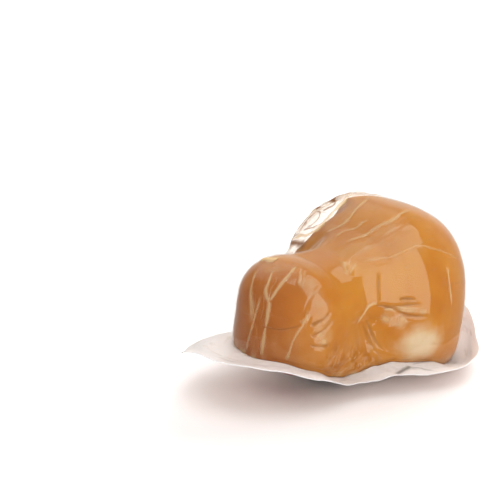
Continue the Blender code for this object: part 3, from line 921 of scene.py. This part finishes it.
def insideBox(film, flat, box):
    # Rounded rectangle: middle, half sizes and corner radius
    middle, half, corner = box
    offset = addNode(film, "VectorMath", [flat, (*middle, 0)], operation="SUBTRACT")
    size = addNode(film, "VectorMath", [offset], operation="ABSOLUTE")
    over = addNode(film, "VectorMath", [size, (half[0] - corner, half[1] - corner, 1)],
        operation="SUBTRACT")
    beyond = addNode(film, "VectorMath", [over, (0, 0, 0)], operation="MAXIMUM")
    distance = addNode(film, "VectorMath", [beyond], operation="LENGTH")
    return addNode(film, "Math", [distance, corner], operation="LESS_THAN")


def insideSpan(film, value, low, high):
    above = addNode(film, "Math", [value, low], operation="GREATER_THAN")
    below = addNode(film, "Math", [value, high], operation="LESS_THAN")
    return addNode(film, "Math", [above, below], operation="MULTIPLY")


def rowsOfDashes(film, along, down):
    # Staggered dashes of two tints, some left blank, like lines of small words
    look = printLook
    rows = addNode(film, "CombineXYZ", {"X": along, "Y": down})
    bricks = addNode(film, "TexBrick", {"Vector": rows, "Color1": (1, 1, 1, 1), "Color2": (0, 0, 0, 1),
        "Mortar": (0, 0, 0, 1), "Scale": 1.0, "Mortar Size": look["rowGap"], "Mortar Smooth": 0.0,
        "Bias": -0.35, "Brick Width": look["wordLength"], "Row Height": look["rowHeight"]}, offset=0.37,
        offset_frequency=2, squash=0.7, squash_frequency=3)
    return addNode(film, "RGBToBW", [bricks])


def printedColour(film):
    look = printLook
    flatX, flatY, edge, run = (addNode(film, "Attribute", attribute_name=name).outputs["Fac"]
                               for name in ("flatX", "flatY", "rimDistance", "rimRun"))
    flat = addNode(film, "CombineXYZ", {"X": flatX, "Y": flatY})
    words = rowsOfDashes(film, flatY, flatX)
    wordArea = addNode(film, "Math", [insideBox(film, flat, look["words"]),
        insideBox(film, flat, look["lowWords"])], operation="MAXIMUM")
    wordInk = addNode(film, "Math", [words, wordArea], operation="MULTIPLY")
    edgeWords = addNode(film, "Math", [rowsOfDashes(film, run, edge),
        insideSpan(film, edge, *look["edgeWords"])], operation="MULTIPLY")
    barPlace = addNode(film, "Math", [flatY, look["barPitch"]], operation="SNAP")
    barNoise = addNode(film, "TexWhiteNoise", {"W": barPlace}, noise_dimensions="1D")
    barInk = addNode(film, "Math", [barNoise, look["barShare"]], operation="GREATER_THAN")
    bars = addNode(film, "Math", [barInk, insideBox(film, flat, look["bars"])], operation="MULTIPLY")
    cells = addNode(film, "TexVoronoi", {"Vector": flat, "Scale": 1 / look["lozengePitch"],
        "Randomness": 0.0}, distance="MANHATTAN")
    lozenge = addNode(film, "Math", [cells, look["lozengeSize"]], operation="LESS_THAN")
    atHead = addNode(film, "Math", [flatX, look["lozengeFrom"]], operation="LESS_THAN")
    deep = addNode(film, "Math", [edge, look["lozengeEdge"]], operation="GREATER_THAN")
    ringed = addNode(film, "Math", [atHead, deep], operation="MULTIPLY")
    lozenges = addNode(film, "Math", [lozenge, ringed], operation="MULTIPLY")
    line = insideSpan(film, edge, look["edgeLine"], look["edgeLine"] + look["edgeLineWidth"])
    dash = addNode(film, "Math", [run, look["edgeDash"]], operation="MODULO")
    dashOn = addNode(film, "Math", [dash, look["edgeDash"] * look["dashShare"]], operation="LESS_THAN")
    dashes = addNode(film, "Math", [line, dashOn], operation="MULTIPLY")
    colour = sRgb(look["paper"])
    layers = [(lozenges, "tan"), (wordInk, "ink"), (edgeWords, "ink"), (dashes, "tan"), (bars, "dark")]
    for name, tint in (("ribbon", "tan"), ("badge", "red"), ("title", "dark"), ("subtitle", "tan"),
                       ("smallBadge", "red")):
        layers.append((insideBox(film, flat, look[name]), tint))
    for mask, tint in layers:
        colour = addNode(film, "Mix", {0: mask, 6: colour, 7: sRgb(look[tint])}, data_type="RGBA")
    return colour


cheese.data.materials.append(makeSmokedRind())
film.data.materials.append(makeClearFilm())
lid.data.materials.append(makeLidFilm("whiteLidFilm"))
lid.data.materials.append(makeLidFilm("printedLidFilm", printedColour))
for piece, node, slot in ((cheese, "cheese_in_film", "smoked_cheese_in_film"),
                          (film, "cheese_in_film", "smoked_cheese_in_film"),
                          (lid, "lid_film", "white_lid_film")):
    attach(piece, "root")
    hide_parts(node)
print("materials ready")

# Studio: white table, soft light from above, a window at the shown side, a pale wall behind the pack and a
# dim room behind the camera. Azimuth 0 is the shown side and 90 the body's end, in degrees
studio = {
    "floorSize": 8.0, "floor": "#f7efec", "floorRoughness": 0.55, "floorIor": 1.45,
    "room": 0.36, "wall": 0.4, "wallEdge": (0.72, 0.93),
    "ceiling": 0.9, "ceilingEdge": (0.80, 0.92), "ceilingToward": (0.13, 0.48, 0.87),
    "camera": (-482.3 * mm, -407.4 * mm, 216.9 * mm), "aim": (0.0, 43.4 * mm, 40.3 * mm),
    "lens": 126.0, "sensor": 36, "nearest": 0.02, "farthest": 30,
    "daylight": "#e9fff4",
    "window": {"azimuth": -1.0, "low": -12, "high": 54, "half": 17.0, "distance": 1.1, "glow": 2.9},
    "skylight": {"width": 1.97, "depth": 1.86, "spot": (0.485, -0.83, 2.45), "glow": 2.4},
    "top": {"strength": 1.25, "spread": 60, "azimuth": -37, "elevation": 72},
    "fill": {"strength": 2.9, "spread": 70, "azimuth": -20, "elevation": 5},
    "back": {"strength": 3.7, "spread": 60, "azimuth": 103, "elevation": 16},
}


def addPanel(name, width, height, spot, aim, glow):
    lamp = bpy.data.lights.new(name, "AREA")
    lamp.shape = "RECTANGLE"
    lamp.size = width
    lamp.size_y = height
    lamp.energy = glow * width * height * pi
    lamp.color = sRgb(studio["daylight"])[:3]
    panel = bpy.data.objects.new(name, lamp)
    panel.location = spot
    panel.rotation_euler = (Vector(aim) - Vector(spot)).to_track_quat("-Z", "Y").to_euler()
    panel.visible_diffuse = False   # seen only as a highlight
    bpy.context.scene.collection.objects.link(panel)


def addWindow(name, light):
    azimuth = radians(light["azimuth"])
    low = light["distance"] * tan(radians(light["low"]))
    high = light["distance"] * tan(radians(light["high"]))
    width = 2 * light["distance"] * tan(radians(light["half"]))
    middle = (low + high) / 2
    spot = (light["distance"] * sin(azimuth), -light["distance"] * cos(azimuth), middle)
    addPanel(name, width, high - low, spot, (0, 0, middle), light["glow"])


def addDiffuser(name, light):
    soft = bpy.data.lights.new(name, "SUN")
    soft.energy = light["strength"]
    soft.angle = radians(light["spread"])
    lamp = bpy.data.objects.new(name, soft)
    azimuth, elevation = radians(light["azimuth"]), radians(light["elevation"])
    source = Vector((sin(azimuth) * cos(elevation), -cos(azimuth) * cos(elevation), sin(elevation)))
    lamp.rotation_euler = source.to_track_quat("Z", "Y").to_euler()
    lamp.visible_glossy = False   # so broad and even that it shows no highlight
    bpy.context.scene.collection.objects.link(lamp)


def buildStudio():
    bpy.ops.mesh.primitive_plane_add(size=studio["floorSize"], location=(0, 0, 0))
    floor = bpy.context.object
    floor.name = "table"
    table = newMaterial("paleTable")
    surface = addNode(table, "BsdfPrincipled", {"Base Color": sRgb(studio["floor"]),
        "Roughness": studio["floorRoughness"], "IOR": studio["floorIor"]})
    addNode(table, "OutputMaterial", {"Surface": surface})
    floor.data.materials.append(table)
    floor.visible_glossy = False
    addWindow("windowLight", studio["window"])
    sky = studio["skylight"]
    addPanel("skylight", sky["width"], sky["depth"], sky["spot"], (sky["spot"][0], sky["spot"][1], 0),
        sky["glow"])
    addDiffuser("topLight", studio["top"])
    addDiffuser("fillLight", studio["fill"])
    addDiffuser("backLight", studio["back"])
    room = bpy.data.worlds.new("room")
    room.use_nodes = True
    room.node_tree.nodes.clear()
    view = Vector(studio["aim"]) - Vector(studio["camera"])
    away = view.normalized()
    direction = addNode(room, "TexCoord").outputs["Generated"]
    glow = studio["room"]
    for name, toward in (("wall", (away.x, away.y, 0)), ("ceiling", studio["ceilingToward"])):
        start, full = studio[name + "Edge"]
        toward = Vector(toward).normalized()
        facing = addNode(room, "VectorMath", [direction, tuple(toward)], operation="DOT_PRODUCT")
        lit = addNode(room, "MapRange", {"Value": facing, "From Min": start, "From Max": full,
            "To Max": studio[name]}, interpolation_type="SMOOTHSTEP")
        glow = addNode(room, "Math", [lit, glow], operation="ADD")
    sky = addNode(room, "Background", {"Color": (1, 1, 1, 1), "Strength": glow})
    addNode(room, "OutputWorld", {"Surface": sky})
    bpy.context.scene.world = room
    lens = bpy.data.cameras.new("camera")
    lens.lens = studio["lens"]
    lens.sensor_width = studio["sensor"]
    lens.clip_start = studio["nearest"]
    lens.clip_end = studio["farthest"]
    camera = bpy.data.objects.new("camera", lens)
    camera.location = studio["camera"]
    camera.rotation_euler = view.to_track_quat("-Z", "Y").to_euler()
    bpy.context.scene.collection.objects.link(camera)
    bpy.context.scene.camera = camera
    bpy.context.scene.view_settings.view_transform = "Standard"


buildStudio()
print("studio ready")
